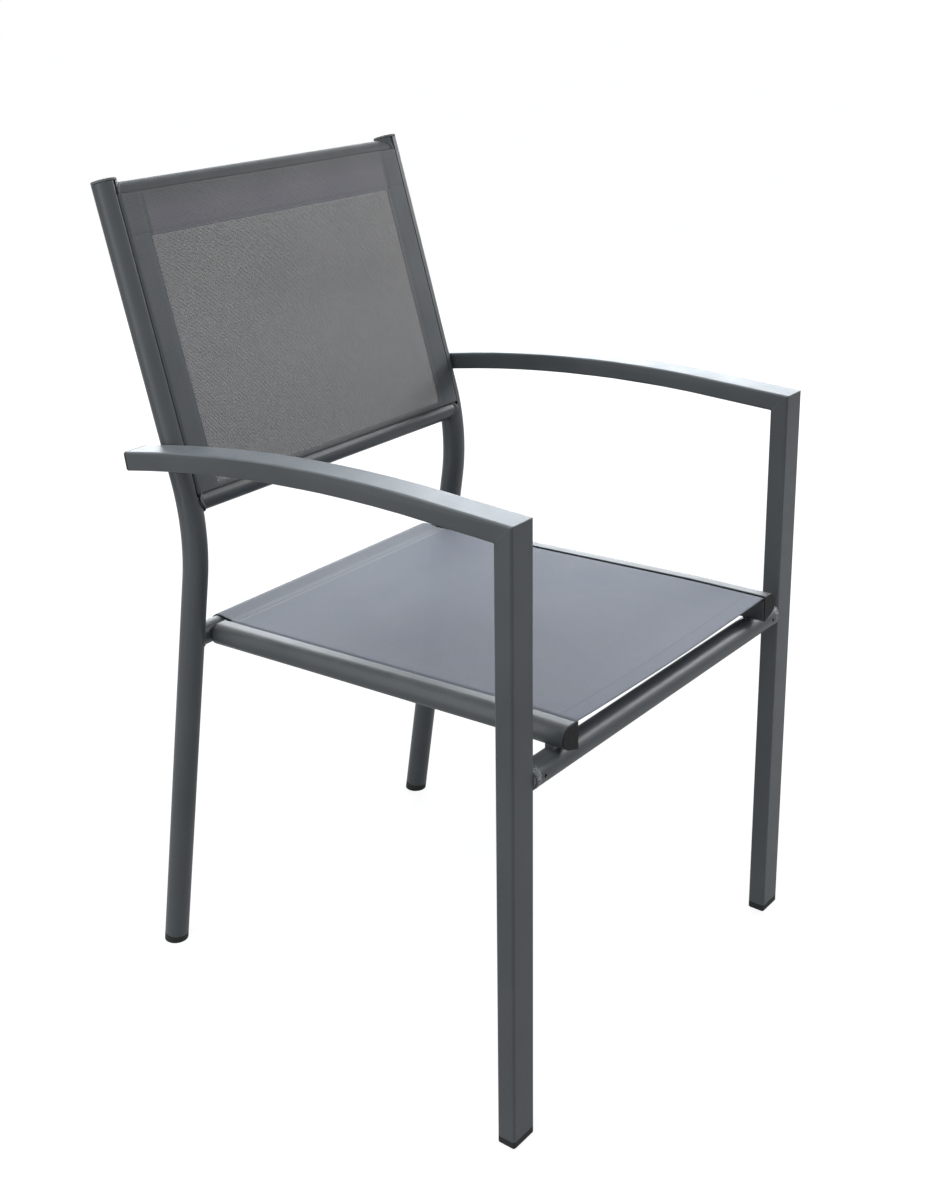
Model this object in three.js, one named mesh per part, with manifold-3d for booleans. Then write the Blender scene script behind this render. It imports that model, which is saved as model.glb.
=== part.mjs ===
// A stacking garden armchair: a painted tube frame with a stretched fabric seat and back.
// Units are millimetres. Z is up, the chair faces -Y, and X = 0 is its middle.
// Depths are measured back from the front face of the front legs until the end,
// where the whole chair is centred over its origin.

import * as THREE from 'three';
import { mergeVertices } from 'three/addons/utils/BufferGeometryUtils.js';
import Module from 'manifold-3d';

const wasm = await Module();
wasm.setup();

const radians = THREE.MathUtils.degToRad;

// The two sides, named as the sitter names them
const sides = [
  { name: 'right', sign: -1 },
  { name: 'left', sign: 1 },
];

// Fits shared by all pieces
const touchGap = 0.3;
const cutOverrun = 5;
const cutReach = 400;
const weldTolerance = 0.001;

// Flat bar of the front legs and arms, a rectangular tube
const chairWidth = 550;
const barWidth = 34;
const barThickness = 21;
const barWall = 1.4;
const barCornerRadius = 3;

// Arm: a short straight front, then one long arch down to the rear end
const armFrontHeight = 657.5;
const armFrontRun = 90;
const armFrontRise = radians(2.7);
const armArchRadius = 1790;
const armRearReach = 51.6;
const armArchSteps = 12;

// Round tube of the rear legs, which run on up as the back uprights
const tubeDiameter = 28;
const tubeWall = 1.6;

// Rear tube: the leg leans forward as it rises, bends at the knee and becomes the back upright
const rearFootDepth = 540.5;
const kneeHeight = 540;
const legLean = radians(8.9);
const backLean = radians(16.7);
const kneeRadius = 264;
const kneeSteps = 10;
const uprightLength = 382;

// Slot down the front of each upright, which holds the edge of the back fabric
const slotClearance = 1.1;
const slotRunout = 4;
const uprightSlotAngle = radians(12);

// Cross tubes
const frontTubeDiameter = 27;
const frontTubeHeight = 395;
const crossTubeDiameter = 25;
const crossTubeWall = 1.4;
const seatBackTubeHeight = 409;
const lowBackTubeRise = 32;
const topBackTubeDrop = 13.5;

// Seat rail: a hollow rounded wedge with an open corner that the seat fabric slides into
const railSideGap = 2.2;
const railHeight = 29.5;
const railRoundRadius = 12.5;
const railRoundDepth = 12;
const railWall = 2;
const railTopLip = 3.5;
const railSideLip = 4.5;
const railFrontOverhang = 10.5;
const railFrontRun = 96;
const railFrontFall = radians(0.8);
const railRearSink = 17;

// Bracket that fills the wedge between the front tube and the rail's underside
const bracketWidth = 16;
const bracketDepth = 10;

// Fabric of the seat and back, and the cords sewn into its side hems
const fabricThickness = 1.4;
const fabricBend = 2.4;
const fabricBendSteps = 4;
const hemTuck = 1.5;
const hemCordDiameter = 6;
const hemCordSides = 10;
const hemCordClearance = 4;
const seatSag = 4;
const seatSagSteps = 12;
const seatSagEase = 110;
const seatEaseSteps = 6;
const seatFabricLift = 1;
const seatFrontSetback = 0.5;
const seatRearSetback = 6;
const seatWrapSteps = 16;
const seatJoinOverlap = 2;
const seatSeamWidth = 12;
const backFabricLift = 8;
const backFabricDrop = 15.5;

// Plastic plugs and feet
const plugFlange = 2.5;
const railPlugFlange = 1.5;
const plugInsert = 12;
const topCapHeight = 4;
const topCapCrown = 1.2;
const frontFootHeight = 9;
const rearFootHeight = 10;
const footInsert = 18;
const footChamfer = 1.5;

// How finely round shapes are cut into flats
const roundSegments = 12;
const cornerSegments = 2;

// Colours
const frameColour = 0x4c5254;
const plugColour = 0x1d2021;
const seatFabricColour = 0x8f939d;
const backFabricColour = 0x767577;
const hemCordColour = 0x2a2c2f;

// Places worked out from the sizes above
const tubeRadius = tubeDiameter / 2;
const frontTubeRadius = frontTubeDiameter / 2;
const crossTubeRadius = crossTubeDiameter / 2;
const legX = (chairWidth - barWidth) / 2;
const legInnerX = chairWidth / 2 - barWidth;
const rearTubeX = legInnerX - touchGap - tubeRadius;
const railX = rearTubeX - tubeRadius - railSideGap - railRoundDepth - railRoundRadius;
const frontTubeDepth = barThickness / 2;
const kneeDepth = rearFootDepth - kneeHeight * Math.tan(legLean);
const armDepth = kneeDepth + armRearReach;
const kneeRun = kneeRadius * Math.tan((legLean + backLean) / 2);
const legLength = kneeHeight / Math.cos(legLean);
const seatBackTubeDepth = rearFootDepth - seatBackTubeHeight * Math.tan(legLean);
const backFabricLow = lowBackTubeRise + backFabricLift;
const backFabricHigh = uprightLength - backFabricDrop;

// A path that is read only at its rings, each with a place and a heading in the YZ plane
class RingPath extends THREE.Curve {
  constructor(rings) {
    super();
    this.rings = rings;
  }
  ringAt(t) {
    return this.rings[Math.round(t * (this.rings.length - 1))];
  }
  getUtoTmapping(u) {
    return u;
  }
  getPoint(t, target = new THREE.Vector3()) {
    const ring = this.ringAt(t);
    return target.set(0, ring.y, ring.z);
  }
  getTangent(t, target = new THREE.Vector3()) {
    const ring = this.ringAt(t);
    return target.set(0, Math.cos(ring.heading), Math.sin(ring.heading));
  }
}

// The ring that lies a given run ahead of another one
function ahead(ring, run) {
  const y = ring.y + run * Math.cos(ring.heading);
  const z = ring.z + run * Math.sin(ring.heading);
  return { y, z, heading: ring.heading };
}

// The ring that lies a given height square to another one, on the path's upper side
function raised(ring, height) {
  const up = ring.heading + Math.PI / 2;
  const y = ring.y + height * Math.cos(up);
  const z = ring.z + height * Math.sin(up);
  return { y, z, heading: ring.heading };
}

// The same place, left by a new heading, with the bend shared out evenly to both stretches
function bent(ring, heading) {
  return { y: ring.y, z: ring.z, heading: (ring.heading + heading) / 2 };
}

// The ring where a line from a given ring meets a circle and begins to run along it.
// A positive radius passes over the circle and a negative one passes under it.
function tangentRing(from, centre, radius) {
  const depth = centre.y - from.y;
  const rise = centre.z - from.z;
  const distance = Math.hypot(depth, rise);
  const heading = Math.atan2(rise, depth) + Math.asin(radius / distance);
  return ahead({ y: from.y, z: from.z, heading }, Math.sqrt(distance ** 2 - radius ** 2));
}

// A straight stretch between two runs from a start ring
function straightRings(start, from, to) {
  return [ahead(start, from), ahead(start, to)];
}

// The rings of an arc that turns the heading; a positive turn is to the left, seen from -X
function arcRings(start, radius, turn, steps) {
  const rings = [];
  const toCentre = start.heading + Math.sign(turn) * Math.PI / 2;
  const centreY = start.y + radius * Math.cos(toCentre);
  const centreZ = start.z + radius * Math.sin(toCentre);
  for (let i = 1; i <= steps; i++) {
    const swept = turn * i / steps;
    const y = centreY - radius * Math.cos(toCentre + swept);
    const z = centreZ - radius * Math.sin(toCentre + swept);
    rings.push({ y, z, heading: start.heading + swept });
  }
  return rings;
}

// A section swept along rings. Its x runs towards -X and its y towards the path's upper side.
function sweep(section, rings, segments = roundSegments) {
  return new THREE.ExtrudeGeometry(section, {
    steps: rings.length - 1,
    curveSegments: segments,
    extrudePath: new RingPath(rings),
  });
}

// Closed mesh to solid and back
function solidOf(geometry) {
  const bare = geometry.clone();
  bare.deleteAttribute('normal');
  bare.deleteAttribute('uv');
  const merged = mergeVertices(bare, weldTolerance);
  const vertProperties = new Float32Array(merged.attributes.position.array);
  const triVerts = new Uint32Array(merged.index.array);
  return new wasm.Manifold(new wasm.Mesh({ numProp: 3, vertProperties, triVerts }));
}

function geometryOf(solid) {
  const mesh = solid.getMesh();
  const geometry = new THREE.BufferGeometry();
  geometry.setAttribute('position', new THREE.BufferAttribute(mesh.vertProperties, 3));
  geometry.setIndex(new THREE.BufferAttribute(mesh.triVerts, 1));
  geometry.computeVertexNormals();
  return geometry;
}

function cut(geometry, cutters) {
  let solid = solidOf(geometry);
  for (const cutter of cutters) {
    solid = solid.subtract(solidOf(cutter));
  }
  return geometryOf(solid);
}

function join(geometries) {
  const [first, ...rest] = geometries;
  let solid = solidOf(first);
  for (const geometry of rest) {
    solid = solid.add(solidOf(geometry));
  }
  return geometryOf(solid);
}

// A block that fills everything on one side of a plane, out to the cut reach
function blockBeyond(point, normal) {
  const block = new THREE.BoxGeometry(cutReach, cutReach, cutReach);
  block.translate(0, 0, cutReach / 2);
  const turn = new THREE.Quaternion().setFromUnitVectors(new THREE.Vector3(0, 0, 1), normal);
  block.applyQuaternion(turn);
  block.translate(point.x, point.y, point.z);
  return block;
}

// Sections
function barOutline(inset) {
  const halfWidth = barWidth / 2 - inset;
  const halfThickness = barThickness / 2 - inset;
  const radius = barCornerRadius - Math.min(inset, barCornerRadius / 2);
  const outline = new THREE.Shape();
  outline.absarc(halfWidth - radius, halfThickness - radius, radius, 0, Math.PI / 2);
  outline.absarc(radius - halfWidth, halfThickness - radius, radius, Math.PI / 2, Math.PI);
  outline.absarc(radius - halfWidth, radius - halfThickness, radius, Math.PI, Math.PI * 3 / 2);
  outline.absarc(halfWidth - radius, radius - halfThickness, radius, Math.PI * 3 / 2, Math.PI * 2);
  return outline;
}

function barSection() {
  const section = barOutline(0);
  section.holes.push(barOutline(barWall));
  return section;
}

function circle(radius, x = 0, y = 0) {
  const outline = new THREE.Shape();
  outline.absarc(x, y, radius, 0, Math.PI * 2);
  return outline;
}

function tubeSection(radius, wall) {
  const section = circle(radius);
  section.holes.push(circle(radius - wall));
  return section;
}

// A ribbon of even thickness along a line of points
function ribbon(points, thickness) {
  const upper = [];
  const lower = [];
  for (let i = 0; i < points.length; i++) {
    const before = points[Math.max(i - 1, 0)];
    const after = points[Math.min(i + 1, points.length - 1)];
    const along = after.clone().sub(before).normalize();
    const across = new THREE.Vector2(-along.y, along.x).multiplyScalar(thickness / 2);
    upper.push(points[i].clone().add(across));
    lower.push(points[i].clone().sub(across));
  }
  return new THREE.Shape([...upper, ...lower.reverse()]);
}

// The fabric's line from flat to its tuck in a slot, as a fillet between the two directions
function tuckLine(corner, flatDirection, slotDirection, tuck) {
  const from = corner.clone().addScaledVector(flatDirection, -fabricBend);
  const to = corner.clone().addScaledVector(slotDirection, fabricBend);
  const end = corner.clone().addScaledVector(slotDirection, tuck);
  const fillet = new THREE.QuadraticBezierCurve(from, corner, to);
  return [...fillet.getPoints(fabricBendSteps), end];
}

// One side's line, mirrored so that it starts at the other side and crosses to this one
function acrossLine(sideLine, middle) {
  const mirrored = sideLine.map((point) => new THREE.Vector2(-point.x, point.y)).reverse();
  return [...mirrored, ...middle, ...sideLine];
}

// Named pieces collect in one group
const chair = new THREE.Group();

function addPiece(name, geometry, material, x = 0) {
  const mesh = new THREE.Mesh(geometry, material);
  mesh.name = name;
  mesh.position.x = x;
  chair.add(mesh);
}

function paintedMetal() {
  return new THREE.MeshStandardMaterial({ color: frameColour, roughness: 0.5, metalness: 0.3 });
}

function plastic() {
  return new THREE.MeshStandardMaterial({ color: plugColour, roughness: 0.6, metalness: 0 });
}

function fabric(colour) {
  return new THREE.MeshStandardMaterial({ color: colour, roughness: 0.85, metalness: 0 });
}

// Front legs and arms meet in a mitre at the front corner
const mitreAngle = (Math.PI / 2 - armFrontRise) / 2;
const mitreNormal = new THREE.Vector3(0, Math.sin(mitreAngle), Math.cos(mitreAngle));
const mitreCorner = new THREE.Vector3(0, 0, armFrontHeight);

function mitreCut(direction) {
  const shift = direction * touchGap / 2;
  const point = mitreCorner.clone().addScaledVector(mitreNormal, -shift);
  return blockBeyond(point, mitreNormal.clone().multiplyScalar(direction));
}

function frontLeg() {
  const foot = { y: frontTubeDepth, z: 0, heading: Math.PI / 2 };
  const rings = straightRings(foot, frontFootHeight + touchGap, armFrontHeight + cutOverrun);
  return cut(sweep(barSection(), rings, cornerSegments), [mitreCut(1)]);
}

function armTopRings() {
  const corner = { y: 0, z: armFrontHeight, heading: armFrontRise };
  const archStart = ahead(corner, armFrontRun);
  const rearSine = (armDepth - archStart.y) / armArchRadius - Math.sin(armFrontRise);
  const turn = -(armFrontRise + Math.asin(rearSine));
  return [corner, archStart, ...arcRings(archStart, armArchRadius, turn, armArchSteps)];
}

const armRings = armTopRings().map((ring) => raised(ring, -barThickness / 2));
const armRear = armRings[armRings.length - 1];

function arm() {
  const [corner, ...rest] = armRings;
  const start = ahead(corner, -barThickness);
  return cut(sweep(barSection(), [start, ...rest], cornerSegments), [mitreCut(-1)]);
}

function armEndCap() {
  const flange = straightRings(armRear, touchGap, touchGap + plugFlange);
  const insert = straightRings(armRear, -plugInsert, touchGap + plugFlange / 2);
  return join([
    sweep(barOutline(0), flange, cornerSegments),
    sweep(barOutline(barWall + touchGap), insert, cornerSegments),
  ]);
}

function frontFoot() {
  const foot = { y: frontTubeDepth, z: 0, heading: Math.PI / 2 };
  const sole = straightRings(foot, 0, frontFootHeight / 2);
  const flange = straightRings(foot, footChamfer, frontFootHeight);
  const insert = straightRings(foot, frontFootHeight / 2, frontFootHeight + footInsert);
  return join([
    sweep(barOutline(footChamfer), sole, cornerSegments),
    sweep(barOutline(0), flange, cornerSegments),
    sweep(barOutline(barWall + touchGap), insert, cornerSegments),
  ]);
}

// Rear tubes
const rearFootRing = { y: rearFootDepth, z: 0, heading: Math.PI / 2 + legLean };
const kneeStart = ahead(rearFootRing, legLength - kneeRun);
const kneeRings = arcRings(kneeStart, kneeRadius, -(legLean + backLean), kneeSteps);
const kneeRing = { y: kneeDepth, z: kneeHeight, heading: Math.PI / 2 - backLean };
const uprightTop = ahead(kneeRing, uprightLength);

function rearTubeRings() {
  const bottom = ahead(rearFootRing, rearFootHeight + touchGap);
  return [bottom, kneeStart, ...kneeRings, uprightTop];
}

// A point in the upright's section, on the slot's line at a given radius from the tube's axis.
// The section's x runs outwards from the middle of the chair and its y towards the front.
function slotPoint(radius) {
  const x = -radius * Math.sin(uprightSlotAngle);
  const y = radius * Math.cos(uprightSlotAngle);
  return new THREE.Vector2(x, y);
}

function uprightSlot(sign) {
  const across = new THREE.Vector2(Math.cos(uprightSlotAngle), Math.sin(uprightSlotAngle));
  across.multiplyScalar(fabricThickness / 2 + slotClearance);
  const inner = slotPoint(tubeRadius / 2);
  const outer = slotPoint(tubeRadius + cutOverrun);
  const corners = [
    inner.clone().sub(across),
    inner.clone().add(across),
    outer.clone().add(across),
    outer.clone().sub(across),
  ];
  const mirrored = corners.map((point) => new THREE.Vector2(-sign * point.x, point.y));
  const rings = straightRings(kneeRing, backFabricLow - slotRunout, uprightLength + cutOverrun);
  return sweep(new THREE.Shape(mirrored), rings);
}

function rearTube(sign) {
  const tube = sweep(tubeSection(tubeRadius, tubeWall), rearTubeRings());
  return cut(tube, [uprightSlot(sign)]);
}

// The rear tube with its clearance, as a solid that the cross tubes are notched with
function rearTubeNotch(sign) {
  const notch = sweep(circle(tubeRadius + touchGap), rearTubeRings());
  notch.translate(sign * rearTubeX, 0, 0);
  return notch;
}

function topCap() {
  const profile = [
    new THREE.Vector2(0, 0),
    new THREE.Vector2(tubeRadius, 0),
    new THREE.Vector2(tubeRadius, topCapHeight - topCapCrown * 2),
    new THREE.Vector2(tubeRadius - topCapCrown, topCapHeight - topCapCrown),
    new THREE.Vector2(tubeRadius / 2, topCapHeight),
    new THREE.Vector2(0, topCapHeight),
  ];
  const crown = new THREE.LatheGeometry(profile, roundSegments * 2);
  crown.rotateX(Math.PI / 2 - backLean);
  const seat = ahead(uprightTop, touchGap);
  crown.translate(0, seat.y, seat.z);
  const insert = straightRings(uprightTop, -plugInsert, topCapHeight / 2);
  return join([crown, sweep(circle(tubeRadius - tubeWall - touchGap), insert)]);
}

function rearFoot() {
  const flange = straightRings(rearFootRing, -tubeRadius, rearFootHeight);
  const insert = straightRings(rearFootRing, rearFootHeight / 2, rearFootHeight + footInsert);
  const foot = join([
    sweep(circle(tubeRadius), flange),
    sweep(circle(tubeRadius - tubeWall - touchGap), insert),
  ]);
  const ground = new THREE.Vector3(0, rearFootDepth, 0);
  return cut(foot, [blockBeyond(ground, new THREE.Vector3(0, 0, -1))]);
}

// Cross tubes, each made along X at its own depth and height
function crossTube(ring, radius, wall, halfLength, notches) {
  const tube = new THREE.ExtrudeGeometry(tubeSection(radius, wall), {
    depth: halfLength * 2,
    bevelEnabled: false,
    curveSegments: roundSegments,
  });
  tube.translate(0, 0, -halfLength);
  tube.rotateY(Math.PI / 2);
  tube.translate(0, ring.y, ring.z);
  return cut(tube, notches);
}

const frontTubeAxis = { y: frontTubeDepth, z: frontTubeHeight };
const seatBackTubeAxis = { y: seatBackTubeDepth, z: seatBackTubeHeight };

function frontCrossTube() {
  return crossTube(frontTubeAxis, frontTubeRadius, crossTubeWall, legInnerX - touchGap, []);
}

function rearCrossTube(ring) {
  const notches = sides.map((side) => rearTubeNotch(side.sign));
  return crossTube(ring, crossTubeRadius, crossTubeWall, rearTubeX, notches);
}

// Seat rails. The section's u runs outwards from the inner face and its w up from the bottom.
const railRestHeight = frontTubeHeight + frontTubeRadius + touchGap;
const railFrontRing = {
  y: -railFrontOverhang,
  z: railRestHeight + (frontTubeDepth + railFrontOverhang) * Math.tan(railFrontFall),
  heading: -railFrontFall,
};
const railBend = ahead(railFrontRing, railFrontRun);
const railSeatDepth = seatBackTubeDepth - crossTubeRadius - touchGap * 2 - railPlugFlange;
const railRearHeight = seatBackTubeHeight - railRearSink;
const railRearFall = Math.atan2(railBend.z - railRearHeight, railSeatDepth - railBend.y);
const railRearDepth = railSeatDepth - railHeight * Math.abs(Math.sin(railRearFall));
const railRearRing = { y: railRearDepth, z: railRearHeight, heading: -railRearFall };

function railRings(frontSetback, rearSetback) {
  const bend = { y: railBend.y, z: railBend.z, heading: -(railFrontFall + railRearFall) / 2 };
  return [ahead(railFrontRing, frontSetback), bend, ahead(railRearRing, -rearSetback)];
}

const railRound = new THREE.Vector2(railRoundDepth, railHeight - railRoundRadius);
const railRoundReach = Math.asin(railRoundRadius / railRound.length());
const railUnderside = railRound.angle() - railRoundReach;
const railInsideStart = railWall * (Math.tan(railUnderside) + 1 / Math.cos(railUnderside));

// Points along the rail's round side, from one angle to another, in its own u and w
function railArc(radius, from, to) {
  const points = [];
  for (let i = 0; i <= roundSegments; i++) {
    const angle = from + (to - from) * i / roundSegments;
    const u = railRound.x + radius * Math.cos(angle);
    const w = railRound.y + radius * Math.sin(angle);
    points.push(new THREE.Vector2(u, w));
  }
  return points;
}

function facing(points, sign) {
  return new THREE.Shape(points.map((point) => new THREE.Vector2(-sign * point.x, point.y)));
}

function railSection(sign) {
  const low = railUnderside - Math.PI / 2;
  const high = Math.PI / 2;
  return facing([
    new THREE.Vector2(railTopLip, railHeight),
    ...railArc(railRoundRadius, high, low),
    new THREE.Vector2(0, 0),
    new THREE.Vector2(0, railHeight - railSideLip),
    new THREE.Vector2(railWall, railHeight - railSideLip),
    new THREE.Vector2(railWall, railInsideStart),
    ...railArc(railRoundRadius - railWall, low, high),
    new THREE.Vector2(railTopLip, railHeight - railWall),
  ], sign);
}

// The rail's outside, or the rail grown by a clearance, as a full section
function railFullSection(sign, grow = 0) {
  const low = railUnderside - Math.PI / 2;
  const drop = grow / Math.cos(railUnderside) + grow * Math.tan(railUnderside);
  return facing([
    new THREE.Vector2(-grow, railHeight + grow),
    ...railArc(railRoundRadius + grow, Math.PI / 2, low),
    new THREE.Vector2(-grow, -drop),
  ], sign);
}

function railInsertSection(sign) {
  const inset = railWall + touchGap;
  const low = railUnderside - Math.PI / 2;
  const start = inset * (Math.tan(railUnderside) + 1 / Math.cos(railUnderside));
  return facing([
    new THREE.Vector2(inset, railRound.y),
    new THREE.Vector2(inset, start),
    ...railArc(railRoundRadius - inset, low, 0),
  ], sign);
}

function railPlug(sign, ring, direction) {
  const near = direction * touchGap;
  const far = direction * (touchGap + railPlugFlange);
  const inside = -direction * plugInsert;
  const flange = straightRings(ring, Math.min(near, far), Math.max(near, far));
  const insert = straightRings(ring, Math.min(inside, near + far / 2), Math.max(inside, near + far / 2));
  return join([sweep(railFullSection(sign), flange), sweep(railInsertSection(sign), insert)]);
}

function railBracket(sign) {
  const block = new THREE.BoxGeometry(bracketWidth, bracketDepth, railHeight);
  block.translate(sign * bracketWidth / 2, frontTubeDepth, railRestHeight);
  const radius = frontTubeRadius + touchGap;
  const tube = new THREE.CylinderGeometry(radius, radius, cutReach, roundSegments * 2);
  tube.rotateZ(Math.PI / 2);
  tube.translate(0, frontTubeDepth, frontTubeHeight);
  const rail = sweep(railFullSection(sign, touchGap), railRings(0, 0));
  return cut(block, [tube, rail]);
}

// The open corner of the rail, as a middle point and the direction that the fabric enters by
const topLipPoint = new THREE.Vector2(railTopLip, railHeight - railWall);
const sideLipPoint = new THREE.Vector2(railWall, railHeight - railSideLip);
const railMouth = topLipPoint.clone().add(sideLipPoint).divideScalar(2);
const mouthLine = topLipPoint.clone().sub(sideLipPoint).normalize();
const mouthDirection = new THREE.Vector2(mouthLine.y, -mouthLine.x);

// Seat fabric: tucked into both rails, hanging a little between them, and sewn in a pocket
// round the tube behind. Its section is level with the flat part between the rails.
const seatLevel = railHeight - seatFabricLift;

function seatEdgeLine() {
  const back = (seatLevel - railMouth.y) / -mouthDirection.y;
  const corner = railMouth.clone().addScaledVector(mouthDirection, -back);
  corner.add(new THREE.Vector2(railX, -seatLevel));
  return tuckLine(corner, new THREE.Vector2(1, 0), mouthDirection, back + hemTuck);
}

const seatEdge = seatEdgeLine();
const seatHalfWidth = seatEdge[0].x;

function seatSection(edge) {
  const middle = [];
  for (let i = 1; i < seatSagSteps; i++) {
    middle.push(new THREE.Vector2((i / seatSagSteps * 2 - 1) * seatHalfWidth, 0));
  }
  return ribbon(acrossLine(edge, middle), fabricThickness);
}

// Middle line of the fabric between the rails, with more rings where the sag dies out
const seatBetweenRails = railRings(seatFrontSetback, seatRearSetback).map((ring) => raised(ring, seatLevel));
const seatRailsEnd = seatBetweenRails.pop();

for (let i = 0; i <= seatEaseSteps; i++) {
  const setback = seatSagEase + (seatSeamWidth - seatSagEase) * i / seatEaseSteps;
  seatBetweenRails.push(ahead(seatRailsEnd, -setback));
}

seatBetweenRails.push(seatRailsEnd);

// Middle line of the pocket: over the tube, round under it and forward to the seam
function seatPocketRings() {
  const start = ahead(seatRailsEnd, -seatJoinOverlap);
  const lift = ahead(seatRailsEnd, seatJoinOverlap);
  const radius = crossTubeRadius + touchGap + fabricThickness / 2;
  const over = tangentRing(lift, seatBackTubeAxis, radius);
  const seam = raised(seatRailsEnd, -(fabricThickness + touchGap));
  const under = tangentRing(seam, seatBackTubeAxis, -radius);
  const wrapTurn = under.heading - Math.PI - over.heading;
  const wrap = arcRings(over, radius, wrapTurn, seatWrapSteps);
  const back = { y: seam.y, z: seam.z, heading: seam.heading - Math.PI };
  const fold = bent(back, wrap[wrap.length - 1].heading);
  return [start, bent(lift, over.heading), over, ...wrap, fold, ahead(back, seatSeamWidth)];
}

function sagged(geometry) {
  const places = geometry.attributes.position;
  for (let i = 0; i < places.count; i++) {
    const share = Math.min(Math.abs(places.getX(i)) / seatHalfWidth, 1);
    const eased = THREE.MathUtils.smoothstep(seatRailsEnd.y - places.getY(i), seatSeamWidth, seatSagEase);
    places.setZ(i, places.getZ(i) - seatSag * (1 - share ** 2) * eased);
  }
  return geometry;
}

function seatFabric() {
  const betweenRails = sweep(seatSection(seatEdge), seatBetweenRails);
  const pocket = sweep(seatSection([seatEdge[0]]), seatPocketRings());
  return join([sagged(betweenRails), pocket]);
}

function seatHemCord(sign) {
  const depth = hemTuck + touchGap + hemCordDiameter / 2;
  const centre = railMouth.clone().addScaledVector(mouthDirection, depth);
  const section = circle(hemCordDiameter / 2, -sign * centre.x, centre.y);
  const setback = plugInsert + hemCordClearance;
  return sweep(section, railRings(setback, setback), hemCordSides / 2);
}

// Back fabric, stretched flat across the fronts of the uprights
const backFabricFront = tubeRadius * Math.cos(uprightSlotAngle) + touchGap + fabricThickness / 2;
const backTuckRadius = tubeRadius - tubeWall - hemTuck / 2;

function backFabricSection() {
  const cornerRadius = backFabricFront / Math.cos(uprightSlotAngle);
  const corner = slotPoint(cornerRadius);
  const slotDirection = slotPoint(1).negate();
  corner.x += rearTubeX;
  const line = tuckLine(corner, new THREE.Vector2(1, 0), slotDirection, cornerRadius - backTuckRadius);
  return ribbon(acrossLine(line, []), fabricThickness);
}

function backFabric() {
  return sweep(backFabricSection(), straightRings(kneeRing, backFabricLow, backFabricHigh));
}

function backHemCord(sign) {
  const centre = slotPoint(backTuckRadius - touchGap - hemCordDiameter / 2);
  const section = circle(hemCordDiameter / 2, -sign * centre.x, centre.y);
  const low = backFabricLow + hemCordClearance;
  const rings = straightRings(kneeRing, low, backFabricHigh - hemCordClearance);
  return sweep(section, rings, hemCordSides / 2);
}

// Put the chair together
const railEnds = railRings(0, 0);
const railFront = railEnds[0];
const railRear = railEnds[railEnds.length - 1];

for (const { name, sign } of sides) {
  addPiece(`front_leg_${name}`, frontLeg(), paintedMetal(), sign * legX);
  addPiece(`arm_${name}`, arm(), paintedMetal(), sign * legX);
  addPiece(`rear_tube_${name}`, rearTube(sign), paintedMetal(), sign * rearTubeX);
  addPiece(`seat_rail_${name}`, sweep(railSection(sign), railEnds), paintedMetal(), sign * railX);
  addPiece(`rail_bracket_${name}`, railBracket(sign), paintedMetal(), sign * railX);
  addPiece(`seat_hem_cord_${name}`, seatHemCord(sign), fabric(hemCordColour), sign * railX);
  addPiece(`back_hem_cord_${name}`, backHemCord(sign), fabric(hemCordColour), sign * rearTubeX);
  addPiece(`arm_end_cap_${name}`, armEndCap(), plastic(), sign * legX);
  addPiece(`front_foot_${name}`, frontFoot(), plastic(), sign * legX);
  addPiece(`rear_foot_${name}`, rearFoot(), plastic(), sign * rearTubeX);
  addPiece(`top_cap_${name}`, topCap(), plastic(), sign * rearTubeX);
  addPiece(`rail_front_plug_${name}`, railPlug(sign, railFront, -1), plastic(), sign * railX);
  addPiece(`rail_rear_plug_${name}`, railPlug(sign, railRear, 1), plastic(), sign * railX);
}

addPiece('front_cross_tube', frontCrossTube(), paintedMetal());
addPiece('seat_back_tube', rearCrossTube(seatBackTubeAxis), paintedMetal());
addPiece('low_back_tube', rearCrossTube(ahead(kneeRing, lowBackTubeRise)), paintedMetal());
addPiece('top_back_tube', rearCrossTube(ahead(uprightTop, -topBackTubeDrop)), paintedMetal());
addPiece('seat_fabric', seatFabric(), fabric(seatFabricColour));
addPiece('back_fabric', backFabric(), fabric(backFabricColour));

// Centre the chair's depth over the origin; it already stands on Z = 0
const extent = new THREE.Box3().setFromObject(chair);
chair.position.y = -(extent.min.y + extent.max.y) / 2;
chair.updateMatrixWorld(true);

export default chair;
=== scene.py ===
import math

import bpy
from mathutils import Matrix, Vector


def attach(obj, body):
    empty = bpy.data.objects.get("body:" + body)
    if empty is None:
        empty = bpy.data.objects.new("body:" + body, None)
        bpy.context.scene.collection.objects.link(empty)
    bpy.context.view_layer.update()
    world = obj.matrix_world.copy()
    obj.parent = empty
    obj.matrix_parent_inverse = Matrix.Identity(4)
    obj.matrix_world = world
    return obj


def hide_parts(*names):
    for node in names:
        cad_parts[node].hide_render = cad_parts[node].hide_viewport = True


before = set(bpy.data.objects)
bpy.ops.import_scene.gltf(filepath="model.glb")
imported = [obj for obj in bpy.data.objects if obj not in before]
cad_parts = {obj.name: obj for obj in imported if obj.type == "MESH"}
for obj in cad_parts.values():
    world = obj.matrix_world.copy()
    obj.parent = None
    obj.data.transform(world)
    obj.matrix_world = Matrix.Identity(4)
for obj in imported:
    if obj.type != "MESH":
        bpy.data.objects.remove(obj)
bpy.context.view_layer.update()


# Front legs: two upright bars of rectangular steel tube, 34 by 21 mm, mitred at the top.
# Each is welded to the front end of its arm, the weld is dressed flush, and all is powder coated.
MERGE_WITHIN = 0.00002
FLAT_WITHIN = math.radians(1)


def only(piece):
    """Selects one piece and nothing else."""
    bpy.ops.object.select_all(action="DESELECT")
    piece.select_set(True)
    bpy.context.view_layer.objects.active = piece


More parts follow.
